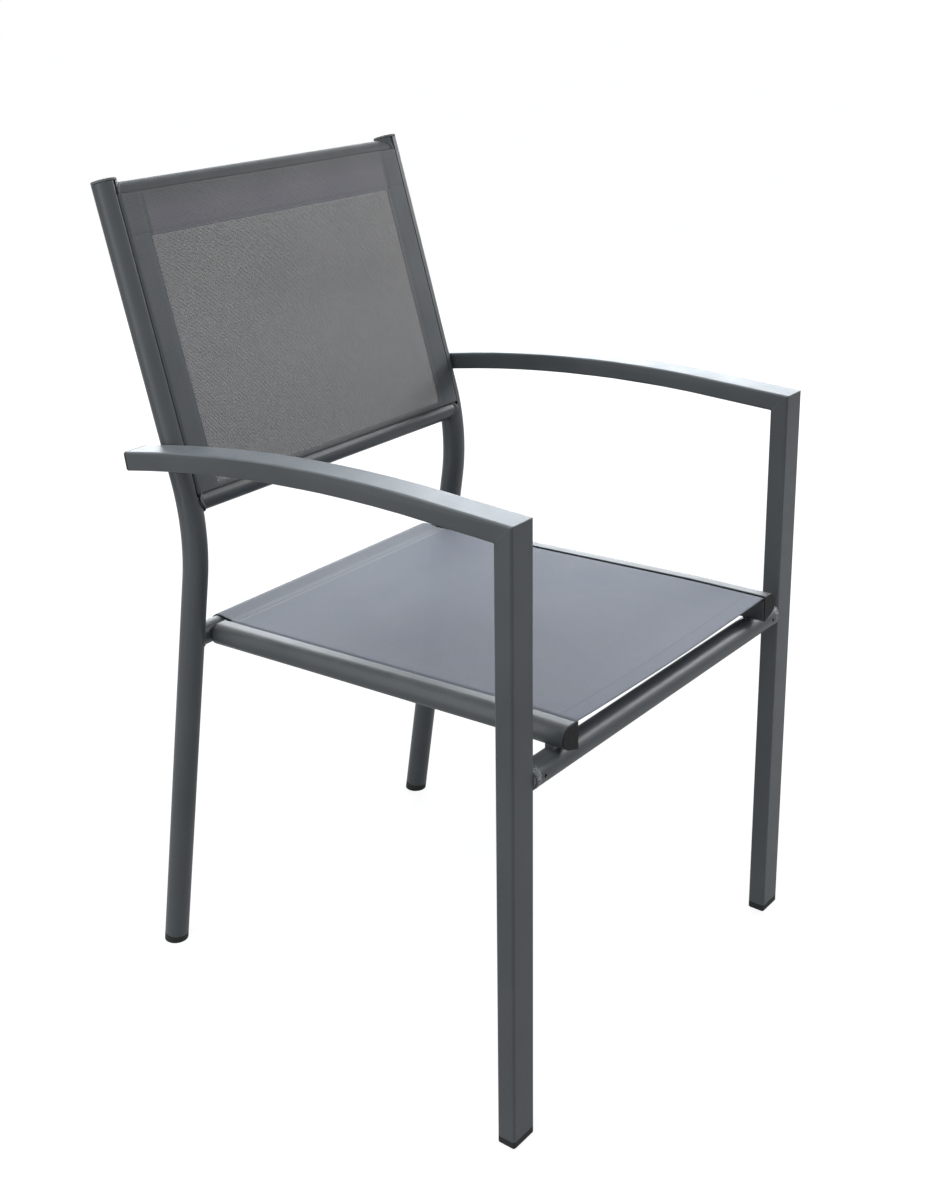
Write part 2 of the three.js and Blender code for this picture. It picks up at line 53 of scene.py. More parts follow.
def smoothed(piece, from_angle=35):
    """Smooths the shading over rounded edges and keeps the flat faces flat."""
    only(piece)
    bpy.ops.object.shade_smooth_by_angle(angle=math.radians(from_angle))
    flats = piece.modifiers.new("flat faces", "WEIGHTED_NORMAL")
    flats.keep_sharp = True
    bpy.ops.object.modifier_apply(modifier="flat faces")


def joined_up(node, name):
    """A piece in a node's own shape, with its faces joined so that its edges can be rounded."""
    piece = bpy.data.objects.new(name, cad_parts[node].data.copy())
    bpy.context.scene.collection.objects.link(piece)
    only(piece)
    bpy.ops.object.mode_set(mode="EDIT")
    bpy.ops.mesh.select_all(action="SELECT")
    bpy.ops.mesh.customdata_custom_splitnormals_clear()
    bpy.ops.mesh.remove_doubles(threshold=MERGE_WITHIN)
    bpy.ops.mesh.dissolve_limited(angle_limit=FLAT_WITHIN)
    bpy.ops.object.mode_set(mode="OBJECT")
    return piece


def round_edges(piece, width, steps=3, from_angle=35):
    """Rounds the sharp edges of a piece and smooths the shading of the rest."""
    only(piece)
    rounding = piece.modifiers.new("rounding", "BEVEL")
    rounding.width = width
    rounding.segments = steps
    rounding.limit_method = "ANGLE"
    rounding.angle_limit = math.radians(from_angle)
    bpy.ops.object.modifier_apply(modifier="rounding")
    smoothed(piece, from_angle)


def written(red, green, blue):
    """The shader's value for a colour written as 0 to 255."""
    return (*((c / 255 / 12.92) if c < 11 else ((c / 255 + 0.055) / 1.055) ** 2.4
              for c in (red, green, blue)), 1)


def feed(tree, socket, value):
    """Links a socket to a node's output, or sets it to a plain value."""
    if isinstance(value, bpy.types.NodeSocket):
        tree.links.new(value, socket)
    else:
        socket.default_value = value


def sums(tree, operation, first, second=0.0, third=0.0):
    """One step of arithmetic in a material."""
    node = tree.nodes.new("ShaderNodeMath")
    node.operation = operation
    for socket, value in zip(node.inputs, (first, second, third)):
        feed(tree, socket, value)
    return node.outputs[0]


def spread(tree, value, low, high, to_low=0.0, to_high=1.0):
    """Stretches a mask from one range to another, and stops at its ends."""
    node = tree.nodes.new("ShaderNodeMapRange")
    for socket, given in zip(node.inputs, (value, low, high, to_low, to_high)):
        feed(tree, socket, given)
    return node.outputs[0]


def clouds(tree, place, scale, detail=2.0, roughness=0.5):
    """Soft uneven patches, from 0 to 1."""
    node = tree.nodes.new("ShaderNodeTexNoise")
    feed(tree, node.inputs["Vector"], place)
    feed(tree, node.inputs["Scale"], scale)
    node.inputs["Detail"].default_value = detail
    node.inputs["Roughness"].default_value = roughness
    return node.outputs["Fac"]


def mixed(tree, share, first, second):
    """A colour between two others."""
    node = tree.nodes.new("ShaderNodeMix")
    node.data_type = "RGBA"
    for label, value in (("Factor_Float", share), ("A_Color", first), ("B_Color", second)):
        feed(tree, next(s for s in node.inputs if s.identifier == label), value)
    return next(s for s in node.outputs if s.identifier == "Result_Color")


def tinted(tree, share, colour, low, high):
    """A colour between a darker and a lighter tint of itself."""
    return mixed(tree, share, *(written(*(c * tint for c in colour)) for tint in (low, high)))


def object_place(tree):
    """The place on the object that a pattern is laid by."""
    return tree.nodes.new("ShaderNodeTexCoord").outputs["Object"]


def blank(name):
    """A new material with its node tree and its shader."""
    material = bpy.data.materials.new(name)
    material.use_nodes = True
    return material, material.node_tree, material.node_tree.nodes["Principled BSDF"]


def raised(tree, shader, height, strength, distance):
    """Gives a shader a fine relief."""
    bump = tree.nodes.new("ShaderNodeBump")
    bump.inputs["Strength"].default_value = strength
    bump.inputs["Distance"].default_value = distance
    feed(tree, bump.inputs["Height"], height)
    tree.links.new(bump.outputs["Normal"], shader.inputs["Normal"])


def effect(name, inputs, outputs):
    """An empty node group with named inputs and outputs."""
    tree = bpy.data.node_groups.new(name, "ShaderNodeTree")
    for label, value in inputs:
        socket = tree.interface.new_socket(label, in_out="INPUT", socket_type="NodeSocketFloat")
        socket.default_value = value
    for label in outputs:
        tree.interface.new_socket(label, in_out="OUTPUT", socket_type="NodeSocketFloat")
    return tree, tree.nodes.new("NodeGroupInput").outputs, tree.nodes.new("NodeGroupOutput").inputs


def place_effect(tree, group, **values):
    """Puts an effect into a material with its own values."""
    node = tree.nodes.new("ShaderNodeGroup")
    node.node_tree = group
    for label, value in values.items():
        feed(tree, node.inputs[label], value)
    return node.outputs


# Powder grain: the fine orange peel of baked powder, with a finer sand on top of it.
PEEL_GRAIN, SAND_GRAIN, SAND_SHARE = 620, 2300, 0.35
coat_grain, given, result = effect("coat grain", [("Size", 1.0)], ["Height"])
sized = coat_grain.nodes.new("ShaderNodeVectorMath")
sized.operation = "SCALE"
coat_grain.links.new(object_place(coat_grain), sized.inputs[0])
coat_grain.links.new(given["Size"], sized.inputs["Scale"])
peel = clouds(coat_grain, sized.outputs[0], PEEL_GRAIN, detail=1.0)
sand = clouds(coat_grain, sized.outputs[0], SAND_GRAIN, detail=1.0)
peel_part = sums(coat_grain, "MULTIPLY", peel, 1 - SAND_SHARE)
feed(coat_grain, result["Height"], sums(coat_grain, "MULTIPLY_ADD", sand, SAND_SHARE, peel_part))

# Edge wear: where an edge turns, the powder pulls thin and hands polish it.
edge_wear, given, result = effect("edge wear", [("Reach", 0.0012), ("Patches", 60.0)], ["Mask"])
softened = edge_wear.nodes.new("ShaderNodeBevel")
softened.samples = 4
edge_wear.links.new(given["Reach"], softened.inputs["Radius"])
agree = edge_wear.nodes.new("ShaderNodeVectorMath")
agree.operation = "DOT_PRODUCT"
edge_wear.links.new(softened.outputs["Normal"], agree.inputs[0])
edge_wear.links.new(edge_wear.nodes.new("ShaderNodeNewGeometry").outputs["Normal"], agree.inputs[1])
bare = spread(edge_wear, agree.outputs["Value"], 0.995, 0.9)
broken = clouds(edge_wear, object_place(edge_wear), given["Patches"], detail=3.0)
feed(edge_wear, result["Mask"], sums(edge_wear, "MULTIPLY", bare, spread(edge_wear, broken, 0.3, 0.65)))

# Dust: a thin film that settles on what faces up, thicker in some patches.
dust, given, result = effect("settled dust", [("Amount", 0.3)], ["Mask", "Upward"])
facing = dust.nodes.new("ShaderNodeSeparateXYZ")
dust.links.new(dust.nodes.new("ShaderNodeNewGeometry").outputs["Normal"], facing.inputs[0])
upward = spread(dust, facing.outputs["Z"], 0.35, 1.0)
patchy = spread(dust, clouds(dust, object_place(dust), scale=24, detail=4.0, roughness=0.6), 0.35, 0.75)
speck = spread(dust, clouds(dust, object_place(dust), scale=900, detail=1.0), 0.4, 0.7)
lying = sums(dust, "MULTIPLY", upward, patchy)
film = sums(dust, "MULTIPLY", lying, sums(dust, "MULTIPLY_ADD", speck, 0.6, 0.4))
feed(dust, result["Mask"], sums(dust, "MULTIPLY", film, given["Amount"]))
# The upward mask also goes out on its own, for the highlight that the coats paint on what faces up.
feed(dust, result["Upward"], upward)

# Colours of the coat, of the highlight painted on what faces up, and of the dust that lies on it.
SLATE, SATIN = (62, 67, 70), 0.40
THIN_SLATE, PAINTED_TOP_LIGHT, DUST_GREY = (120, 126, 130), (158, 168, 176), (168, 166, 160)


def coated(name, colour, roughness, grain=0.22, worn=THIN_SLATE, wear=0.5, spatter=0.0, top_light_share=0.0):
    """A baked powder coat: satin gloss, orange peel, thin edges and a little dust.

    Spatter is the share of weld splashes, and the top light share is how far what faces up is painted
    lighter: a painted highlight of the light from above.
    """
    material, tree, shader = blank(name)
    where = object_place(tree)
    tone = spread(tree, clouds(tree, where, scale=9, detail=3.0), 0.3, 0.7)
    base = tinted(tree, tone, colour, 0.93, 1.06)
    thin = place_effect(tree, edge_wear)["Mask"]
    base = mixed(tree, sums(tree, "MULTIPLY", thin, wear), base, written(*worn))
    if spatter:
        splashes = spread(tree, clouds(tree, where, scale=420, detail=3.0, roughness=0.7), 0.5, 0.62)
        base = mixed(tree, sums(tree, "MULTIPLY", splashes, spatter), base, written(*worn))
    settled = place_effect(tree, dust, Amount=0.16)
    # Painted highlight: what faces up is mixed toward a paler slate, by the top light share.
    base = mixed(tree, sums(tree, "MULTIPLY", settled["Upward"], top_light_share), base, written(*PAINTED_TOP_LIGHT))
    base = mixed(tree, settled["Mask"], base, written(*DUST_GREY))
    feed(tree, shader.inputs["Base Color"], base)
    uneven = sums(tree, "MULTIPLY_ADD", clouds(tree, where, scale=45), 0.1, roughness - 0.05)
    feed(tree, shader.inputs["Roughness"], sums(tree, "MULTIPLY_ADD", settled["Mask"], 0.5, uneven))
    raised(tree, shader, place_effect(tree, coat_grain)["Height"], strength=grain, distance=0.0004)
    return material


def dressed(piece, material, slot, *nodes):
    """Gives a piece its finish, hangs it on the root body, and hides the nodes that it stands in for."""
    piece.data.materials.clear()
    piece.data.materials.append(material)
    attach(piece, "root")
    if nodes:
        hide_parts(*nodes)


slate_coat = coated("slate powder coat", SLATE, SATIN)
for side in ("right", "left"):
    leg = joined_up(f"front_leg_{side}", f"leg_bar_{side}")
    smoothed(leg)
    dressed(leg, slate_coat, "frame", f"front_leg_{side}")


# Arms: the same rectangular bar laid flat and rolled to a long shallow arch.
# The front end meets the leg in a mitre, and the rear end runs past the upright that it is welded to.
# Their tops are painted lighter than their sides: a painted highlight of the light from above.
ARM_TOP_LIGHT_SHARE = 0.32
arm_coat = coated("arm powder coat", SLATE, SATIN, top_light_share=ARM_TOP_LIGHT_SHARE)
for side in ("right", "left"):
    arm = joined_up(f"arm_{side}", f"arm_bar_{side}")
    smoothed(arm)
    dressed(arm, arm_coat, "frame", f"arm_{side}")


# Corner welds: leg and arm are welded round their mitre, and the weld is ground flush before coating.
# Each is a thin ring of weld metal in the bars' own outline, which fills the joint between them.
MITRE = math.radians(43.65)
SQUARE_ON = 0.99
RING_METAL, RING_OUTWARD, RING_PROUD = 0.0006, 0.6, 1.0025
mitre_normal = Vector((0, math.sin(MITRE), math.cos(MITRE)))
# The flush weld carries the arms' painted top highlight, so that it matches them.
flush_coat = coated("flush weld coat", SLATE, SATIN, wear=0.0, top_light_share=ARM_TOP_LIGHT_SHARE)
for side in ("right", "left"):
    weld = joined_up(f"front_leg_{side}", f"corner_weld_{side}")
    bpy.ops.object.mode_set(mode="EDIT")
    bpy.ops.mesh.select_mode(type="FACE")
    bpy.ops.mesh.select_all(action="DESELECT")
    bpy.ops.object.mode_set(mode="OBJECT")
    for face in weld.data.polygons:
        face.select = face.normal.dot(mitre_normal) < SQUARE_ON
    bpy.ops.object.mode_set(mode="EDIT")
    bpy.ops.mesh.delete(type="FACE")
    bpy.ops.object.mode_set(mode="OBJECT")
    metal = weld.modifiers.new("metal", "SOLIDIFY")
    metal.thickness = RING_METAL
    metal.offset = RING_OUTWARD
    bpy.ops.object.modifier_apply(modifier="metal")
    middle = sum((v.co for v in weld.data.vertices), Vector()) / len(weld.data.vertices)
    for vertex in weld.data.vertices:
        vertex.co = middle + (vertex.co - middle) * RING_PROUD
    smoothed(weld)
    dressed(weld, flush_coat, "frame")


# Rear tubes: one round tube on each side, 28 mm, bent at the knee into rear leg and upright.
# A slot is milled down the front of the upright to hold the edge of the back cloth.
CUT_EDGE, TUBE_SHARP = 0.0002, 50
for side in ("right", "left"):
    tube = joined_up(f"rear_tube_{side}", f"bent_tube_{side}")
    round_edges(tube, CUT_EDGE, 1, TUBE_SHARP)
    dressed(tube, slate_coat, "frame", f"rear_tube_{side}")


# Cross tubes: four straight round tubes that hold the two sides apart, coped to fit and welded.
# One runs under the front of the seat, one behind it, and one at each end of the back.
# The front one has a small hole in front near each end, which vents it while the coating bakes.
FRONT_TUBE_Y, FRONT_TUBE_Z = -0.27318, 0.395
VENT_X, VENT_Y, VENT_RADIUS, VENT_DEPTH = 0.226, -0.2862, 0.0022, 0.008
# The top back tube has the same paint as the rest. The darker colour of its coat is painted shade, and the
# coat is also rougher.
SHADED_SLATE, DULL = (46, 50, 53), 0.6
shaded_slate_coat = coated("shaded slate coat", SHADED_SLATE, DULL)
# The front tube's top is painted lighter as well: a painted highlight.
front_coat = coated("front tube coat", SLATE, SATIN, top_light_share=0.17)
tube_coat = {"front_cross_tube": front_coat, "top_back_tube": shaded_slate_coat}


def vented(tube, sign):
    """Drills the vent hole near one end of the front tube."""
    only(tube)
    bpy.ops.mesh.primitive_cylinder_add(vertices=24, radius=VENT_RADIUS, depth=VENT_DEPTH,
                                        location=(sign * VENT_X, VENT_Y, FRONT_TUBE_Z),
                                        rotation=(math.radians(90), 0, 0))
    drill = bpy.context.object
    only(tube)
    hole = tube.modifiers.new("vent hole", "BOOLEAN")
    hole.object = drill
    hole.solver = "EXACT"
    bpy.ops.object.modifier_apply(modifier="vent hole")
    bpy.data.objects.remove(drill)


for node in ("front_cross_tube", "seat_back_tube", "low_back_tube", "top_back_tube"):
    tube = joined_up(node, node.replace("_tube", "_bar"))
    if node == "front_cross_tube":
        vented(tube, -1)
        vented(tube, 1)
    round_edges(tube, CUT_EDGE, 1, TUBE_SHARP)
    dressed(tube, tube_coat.get(node, slate_coat), "frame", node)


# Welds of the cross tubes: a rippled bead all round each end, where the round tube meets the upright.
# The front tube is wider than the leg it meets, so its welds are drawn in to the leg's own width.
UPRIGHT_X, UPRIGHT_RADIUS, CROSS_RADIUS = 0.2267, 0.014, 0.0125
BEAD, BEAD_PROUD, RIPPLES, SLIVER = 0.0013, 0.0003, 34, 0.00001
SWELL, SLOW_SWELL, SLOW_RIPPLES = 0.16, 0.1, 7
leg_lean, back_lean = math.radians(8.9), math.radians(16.7)
leg_way = Vector((0, -math.sin(leg_lean), math.cos(leg_lean)))
back_way = Vector((0, math.sin(back_lean), math.cos(back_lean)))
knee = Vector((0, 0.17225, 0.540))
seat_tube = Vector((0, 0.19277, 0.409))
low_tube = knee + back_way * 0.032
top_tube = knee + back_way * 0.3685


def rippled_ring(name, radius, lean):
    """A ring of weld round the X axis, uneven along its run."""
    bpy.ops.object.select_all(action="DESELECT")
    bpy.ops.mesh.primitive_torus_add(major_segments=96, minor_segments=10, major_radius=radius,
                                     minor_radius=BEAD, rotation=(0, math.pi / 2, 0))
    ring = bpy.context.object
    ring.name = name
    ring.data.name = name
    bpy.ops.object.transform_apply(location=True, rotation=True, scale=True)
    for vertex in ring.data.vertices:
        angle = math.atan2(vertex.co.y, vertex.co.z)
        core = Vector((0, radius * math.sin(angle), radius * math.cos(angle)))
        swell = 1 + SWELL * math.sin(RIPPLES * angle + lean)
        swell += SLOW_SWELL * math.sin(SLOW_RIPPLES * angle + 2 * lean)
        vertex.co = core + (vertex.co - core) * swell
    return ring


def wrapped(bead, centre, way, sign):
    """Moves a ring to its joint and bends it round the upright there."""
    for vertex in bead.data.vertices:
        off = Vector((0, vertex.co.y, vertex.co.z)).cross(way).x * CROSS_RADIUS / (CROSS_RADIUS + BEAD_PROUD)
        reach = math.sqrt(max(UPRIGHT_RADIUS ** 2 - off ** 2, SLIVER)) + BEAD_PROUD
        vertex.co += centre + Vector((sign * (UPRIGHT_X - reach), 0, 0))


welded_tubes = (("seat_back", seat_tube, leg_way),
                ("low_back", low_tube, back_way),
                ("top_back", top_tube, back_way))
for name, centre, way in welded_tubes:
    for side, sign in (("right", -1), ("left", 1)):
        bead = rippled_ring(f"{name}_weld_{side}", CROSS_RADIUS + BEAD_PROUD, sign + len(name))
        wrapped(bead, centre, way, sign)
        bpy.ops.object.shade_smooth()
        # The top tube's welds take its darker coat, painted shade like the tube's own.
        dressed(bead, shaded_slate_coat if name == "top_back" else slate_coat, "frame")

LEG_FACE, NECK, DRAWN, NECK_RADIUS = 0.2412, 0.0085, 0.0034, 0.01375
NECK_FLAT, NECK_LOWER, NECK_TAPER, NECK_WAVES, NECK_FLECKS = 0.0040, 0.04, 0.014, 0.008, 0.006
spattered_coat = coated("spattered weld", (88, 93, 94), 0.5, grain=0.8, worn=(160, 165, 162), wear=0.9,
                        spatter=0.85)


def drawn_in(vertex, sign):
    """Ripples one point of a front weld, and draws it in as it nears the leg."""
    from_leg = LEG_FACE - abs(vertex.co.x)
    off_y, off_z = vertex.co.y - FRONT_TUBE_Y, vertex.co.z - FRONT_TUBE_Z
    angle = math.atan2(off_y, off_z)
    drawn = max(0.0, 1 - from_leg / DRAWN)
    room = NECK_RADIUS - NECK_FLAT * drawn ** 2
    ripple = 1 - NECK_TAPER * (from_leg / NECK) ** 2
    ripple += NECK_WAVES * math.sin(1900 * from_leg + 3 * math.sin(5 * angle + sign))
    ripple += NECK_FLECKS * math.sin(23 * angle + 900 * from_leg)
    vertex.co.y = FRONT_TUBE_Y + max(-room, min(room, off_y * ripple))
    vertex.co.z = FRONT_TUBE_Z + off_z * ripple * (1 - NECK_LOWER * drawn)


for side, sign in (("right", -1), ("left", 1)):
    bpy.ops.object.select_all(action="DESELECT")
    bpy.ops.mesh.primitive_cylinder_add(
        vertices=64, radius=NECK_RADIUS, depth=NECK, rotation=(0, math.pi / 2, 0),
        location=(sign * (LEG_FACE - NECK / 2), FRONT_TUBE_Y, FRONT_TUBE_Z))
    neck = bpy.context.object
    neck.name = f"front_tube_weld_{side}"
    neck.data.name = neck.name
    bpy.ops.object.transform_apply(location=True, rotation=True, scale=True)
    bpy.ops.object.mode_set(mode="EDIT")
    bpy.ops.mesh.select_all(action="SELECT")
    bpy.ops.mesh.subdivide(number_cuts=7)
    bpy.ops.object.mode_set(mode="OBJECT")
    for vertex in neck.data.vertices:
        drawn_in(vertex, sign)
    bpy.ops.object.shade_smooth_by_angle(angle=math.radians(60))
    dressed(neck, spattered_coat, "frame")


# Seat rails: hollow rolled sections with a rounded outer side, open at the inner top corner.
# The seat cloth slides into that corner, and a small welded saddle sits between rail and front tube.
RAIL_EDGE, SADDLE_EDGE = 0.0006, 0.0012
for side in ("right", "left"):
    rail = joined_up(f"seat_rail_{side}", f"rail_{side}")
    round_edges(rail, RAIL_EDGE)
    dressed(rail, slate_coat, "frame", f"seat_rail_{side}")
    saddle = joined_up(f"rail_bracket_{side}", f"saddle_{side}")
    round_edges(saddle, SADDLE_EDGE)
    dressed(saddle, slate_coat, "frame", f"rail_bracket_{side}")


# Feet and plugs: black moulded plastic, pushed into the open ends of the bars, tubes and rails.
# Only the rim of each shows, as wide as the bar it closes.
SCUFF_GREY, PLASTIC_DUST = (92, 96, 98), (150, 148, 142)


def moulded(name, colour, roughness):
    """Moulded plastic: spark-etched grain, soft edges and a little dust."""
    material, tree, shader = blank(name)
    shader.inputs["Specular IOR Level"].default_value = 0.3
    where = object_place(tree)
    tone = spread(tree, clouds(tree, where, scale=40, detail=3.0), 0.3, 0.7)
    base = tinted(tree, tone, colour, 0.9, 1.1)
    thin = place_effect(tree, edge_wear, Reach=0.0008, Patches=140.0)["Mask"]
    base = mixed(tree, sums(tree, "MULTIPLY", thin, 0.35), base, written(*SCUFF_GREY))
    film = place_effect(tree, dust, Amount=0.25)["Mask"]
    feed(tree, shader.inputs["Base Color"], mixed(tree, film, base, written(*PLASTIC_DUST)))
    uneven = sums(tree, "MULTIPLY_ADD", clouds(tree, where, scale=260), 0.2, roughness - 0.1)
    feed(tree, shader.inputs["Roughness"], uneven)
    raised(tree, shader, place_effect(tree, coat_grain, Size=2.0)["Height"], strength=0.3, distance=0.0002)
    return material


black_plastic = moulded("black plastic", (30, 32, 33), 0.6)
# The rails' front plugs are the same black plastic, painted darker and made rougher. The darker colour is
# painted shade on their faces that look forward.
shaded_plastic = moulded("shaded black plastic", (20, 21, 22), 0.75)
plug_finish = {
    "arm_end_cap": (0.0012, black_plastic),
    "front_foot": (0.0010, black_plastic),
    "rear_foot": (0.0010, black_plastic),
    "rail_front_plug": (0.0004, shaded_plastic),
    "rail_rear_plug": (0.0004, black_plastic),
}
for node, (soft_edge, plastic) in plug_finish.items():
    for side in ("right", "left"):
        plug = joined_up(f"{node}_{side}", f"{node}_moulded_{side}")
        round_edges(plug, soft_edge)
        dressed(plug, plastic, "plugs", f"{node}_{side}")


# Top caps: a domed plastic cap on each upright, with a stub that is pushed into the tube.
# Its rim is as wide as the tube and rounded over.
CAP_LIFT, CAP_RIM, CAP_EDGE = 0.3823, 0.0030, 0.0011
CROWN_INSET, CROWN_RISE = 0.006, 0.0010
STUB_INSET, STUB_DEPTH = 0.0019, 0.012
slate_plastic = moulded("slate plastic", (92, 95, 96), 0.5)
for side, sign in (("right", -1), ("left", 1)):
    bpy.ops.object.select_all(action="DESELECT")
    middle = knee + back_way * (CAP_LIFT + CAP_RIM / 2)
    bpy.ops.mesh.primitive_cylinder_add(vertices=48, radius=UPRIGHT_RADIUS, depth=CAP_RIM,
                                        location=(sign * UPRIGHT_X, middle.y, middle.z),
                                        rotation=(-back_lean, 0, 0))
    cap = bpy.context.object
    cap.name = f"top_cap_moulded_{side}"
    cap.data.name = cap.name
    for end, inset, push in ((1, CROWN_INSET, CROWN_RISE), (-1, STUB_INSET, -STUB_DEPTH)):
        bpy.ops.object.mode_set(mode="EDIT")
        bpy.ops.mesh.select_mode(type="FACE")
        bpy.ops.mesh.select_all(action="DESELECT")
        bpy.ops.object.mode_set(mode="OBJECT")
        for face in cap.data.polygons:
            face.select = face.normal.z * end > SQUARE_ON
        bpy.ops.object.mode_set(mode="EDIT")
        bpy.ops.mesh.inset(thickness=inset)
        if end < 0:
            bpy.ops.mesh.extrude_region_move()
        bpy.ops.transform.translate(value=back_way * push)
        bpy.ops.object.mode_set(mode="OBJECT")
    bpy.ops.object.transform_apply(location=True, rotation=True, scale=True)
    round_edges(cap, CAP_EDGE, 4)
    dressed(cap, slate_plastic, "plugs", f"top_cap_{side}")


# Hem cords: solid plastic cord in the side hems, too thick to be pulled out through the slot.
# They stay as the solids are, since only their ends can be seen.
cord_plastic = moulded("cord plastic", (42, 44, 47), 0.5)
for cloth in ("seat", "back"):
    for side in ("right", "left"):
        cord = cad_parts[f"{cloth}_hem_cord_{side}"]
        cord.data.materials.clear()
        cord.data.materials.append(cord_plastic)


# Seat cloth: one stretched piece of coated mesh, with its side edges held inside the two rails.
# Its front edge is turned under and sewn, and its rear end is sewn in a pocket round the tube behind.
# A sitter's weight has let the middle down a little.
YARN_PITCH = 0.0014
weave, given, result = effect("open weave", [("Across", 0.0), ("Along", 0.0), ("Opening", 0.15)],
                              ["Height", "Yarn"])


def yarn_profile(tree, count):
    """How high a round yarn stands across its width, and how far the place is from its middle."""
    off = sums(tree, "ABSOLUTE", sums(tree, "SUBTRACT", sums(tree, "FRACT", count), 0.5))
    return sums(tree, "COSINE", sums(tree, "MULTIPLY", off, math.pi)), off


def over_under(tree, along, number, sign):
    """Where a yarn passes over its neighbours, by its number and the place along it."""
    turn = sums(tree, "SINE", sums(tree, "MULTIPLY", along, math.pi))
    odd = sums(tree, "COSINE", sums(tree, "MULTIPLY", sums(tree, "FLOOR", number), math.pi))
    return sums(tree, "MULTIPLY_ADD", sums(tree, "MULTIPLY", turn, odd), sign * 0.4, 0.6)


up_profile, up_off = yarn_profile(weave, given["Across"])
cross_profile, cross_off = yarn_profile(weave, given["Along"])
up_yarn = sums(weave, "MULTIPLY", up_profile, over_under(weave, given["Along"], given["Across"], 1))
cross_yarn = sums(weave, "MULTIPLY", cross_profile, over_under(weave, given["Across"], given["Along"], -1))
feed(weave, result["Height"], sums(weave, "MAXIMUM", up_yarn, cross_yarn))
open_from = sums(weave, "SUBTRACT", 0.5, given["Opening"])
gap = sums(weave, "GREATER_THAN", sums(weave, "MINIMUM", up_off, cross_off), open_from)
feed(weave, result["Yarn"], sums(weave, "SUBTRACT", 1.0, gap))

SIDE_BLEND, END_BLEND = 0.0025, 0.0015


def hemmed(tree, hem, laid, shade, weave_shade, base):
    """The cloth's colour with its end hem and its side hems, where a second layer shows through, and with
    painted shade where the end hem nears the tube.
    """
    off = sums(tree, "ABSOLUTE", sums(tree, "SUBTRACT", laid.outputs["X"], hem["middle"]))
    aside = spread(tree, off, hem["reach"] - SIDE_BLEND, hem["reach"])
    doubled = spread(tree, laid.outputs["Y"], hem["start"] - END_BLEND, hem["start"] + END_BLEND)
    doubled = sums(tree, "MULTIPLY", doubled, sums(tree, "SUBTRACT", 1.0, aside))
    # Painted shade of the tube: toward the top, the end hem fades most of the way back to the darker plain
    # cloth.
    tube_shade = spread(tree, laid.outputs["Y"], *hem["tube_shade_band"], to_low=1.0, to_high=0.1)
    doubled = sums(tree, "MULTIPLY", doubled, tube_shade)
    base = mixed(tree, doubled, base, tinted(tree, shade, hem["colour"], 0.94, 1.06))
    # The side hems are darkened in the weave's hollows too: painted shade.
    return mixed(tree, aside, base, tinted(tree, weave_shade, hem["side"], 0.6, 1.0))


def mesh_cloth(name, colour, opening, shift=0.0, roughness=0.5, hem=None):
    """Coated polyester mesh: a plain weave of yarns with small open gaps between them.

    The wall is clear where it is seen from inside, so that one looks right through a gap.
    """
    material, tree, shader = blank(name)
    laid = tree.nodes.new("ShaderNodeSeparateXYZ")
    tree.links.new(tree.nodes.new("ShaderNodeTexCoord").outputs["UV"], laid.inputs[0])
    across = sums(tree, "MULTIPLY_ADD", laid.outputs["X"], 1 / YARN_PITCH, shift)
    along = sums(tree, "MULTIPLY_ADD", laid.outputs["Y"], 1 / YARN_PITCH, shift)
    woven = place_effect(tree, weave, Across=across, Along=along, Opening=opening)
    where = object_place(tree)
    tone = spread(tree, clouds(tree, where, scale=14, detail=4.0, roughness=0.55), 0.3, 0.7)
    fleck = spread(tree, clouds(tree, where, scale=520), 0.35, 0.65)
    shade = sums(tree, "MULTIPLY_ADD", fleck, 0.4, sums(tree, "MULTIPLY", tone, 0.6))
    base = tinted(tree, shade, colour, 0.9, 1.1)
    # Painted shade: where the weave lies low, between and under the yarns, the colour is darkened to 60 per
    # cent.
    weave_shade = spread(tree, woven["Height"], 0.25, 0.75)
    base = mixed(tree, weave_shade, written(*(c * 0.6 for c in colour)), base)
    if hem:
        base = hemmed(tree, hem, laid, shade, weave_shade, base)
    feed(tree, shader.inputs["Base Color"], base)
    feed(tree, shader.inputs["Roughness"], sums(tree, "MULTIPLY_ADD", tone, 0.08, roughness - 0.04))
    raised(tree, shader, woven["Height"], strength=0.5, distance=0.0003)
    inside = tree.nodes.new("ShaderNodeNewGeometry").outputs["Backfacing"]
    outside = sums(tree, "SUBTRACT", 1.0, inside)
    feed(tree, shader.inputs["Alpha"], sums(tree, "MULTIPLY", woven["Yarn"], outside))
    return material


def turned(corner, before, after, steps=6):
    """Points round a corner, from one point to another."""
    shares = [i / steps for i in range(steps + 1)]
    return [before.lerp(corner, t).lerp(corner.lerp(after, t), t) for t in shares]


def fine_line(points, step):
    """A line walked in even steps, with its bends kept: each place and its distance along the cloth."""
    places, distance = [(points[0], 0.0)], 0.0
    for a, b in zip(points, points[1:]):
        length = (b - a).length
        count = max(1, round(length / step))
        for i in range(1, count + 1):
            places.append((a.lerp(b, i / count), distance + length * i / count))
        distance += length
    return places


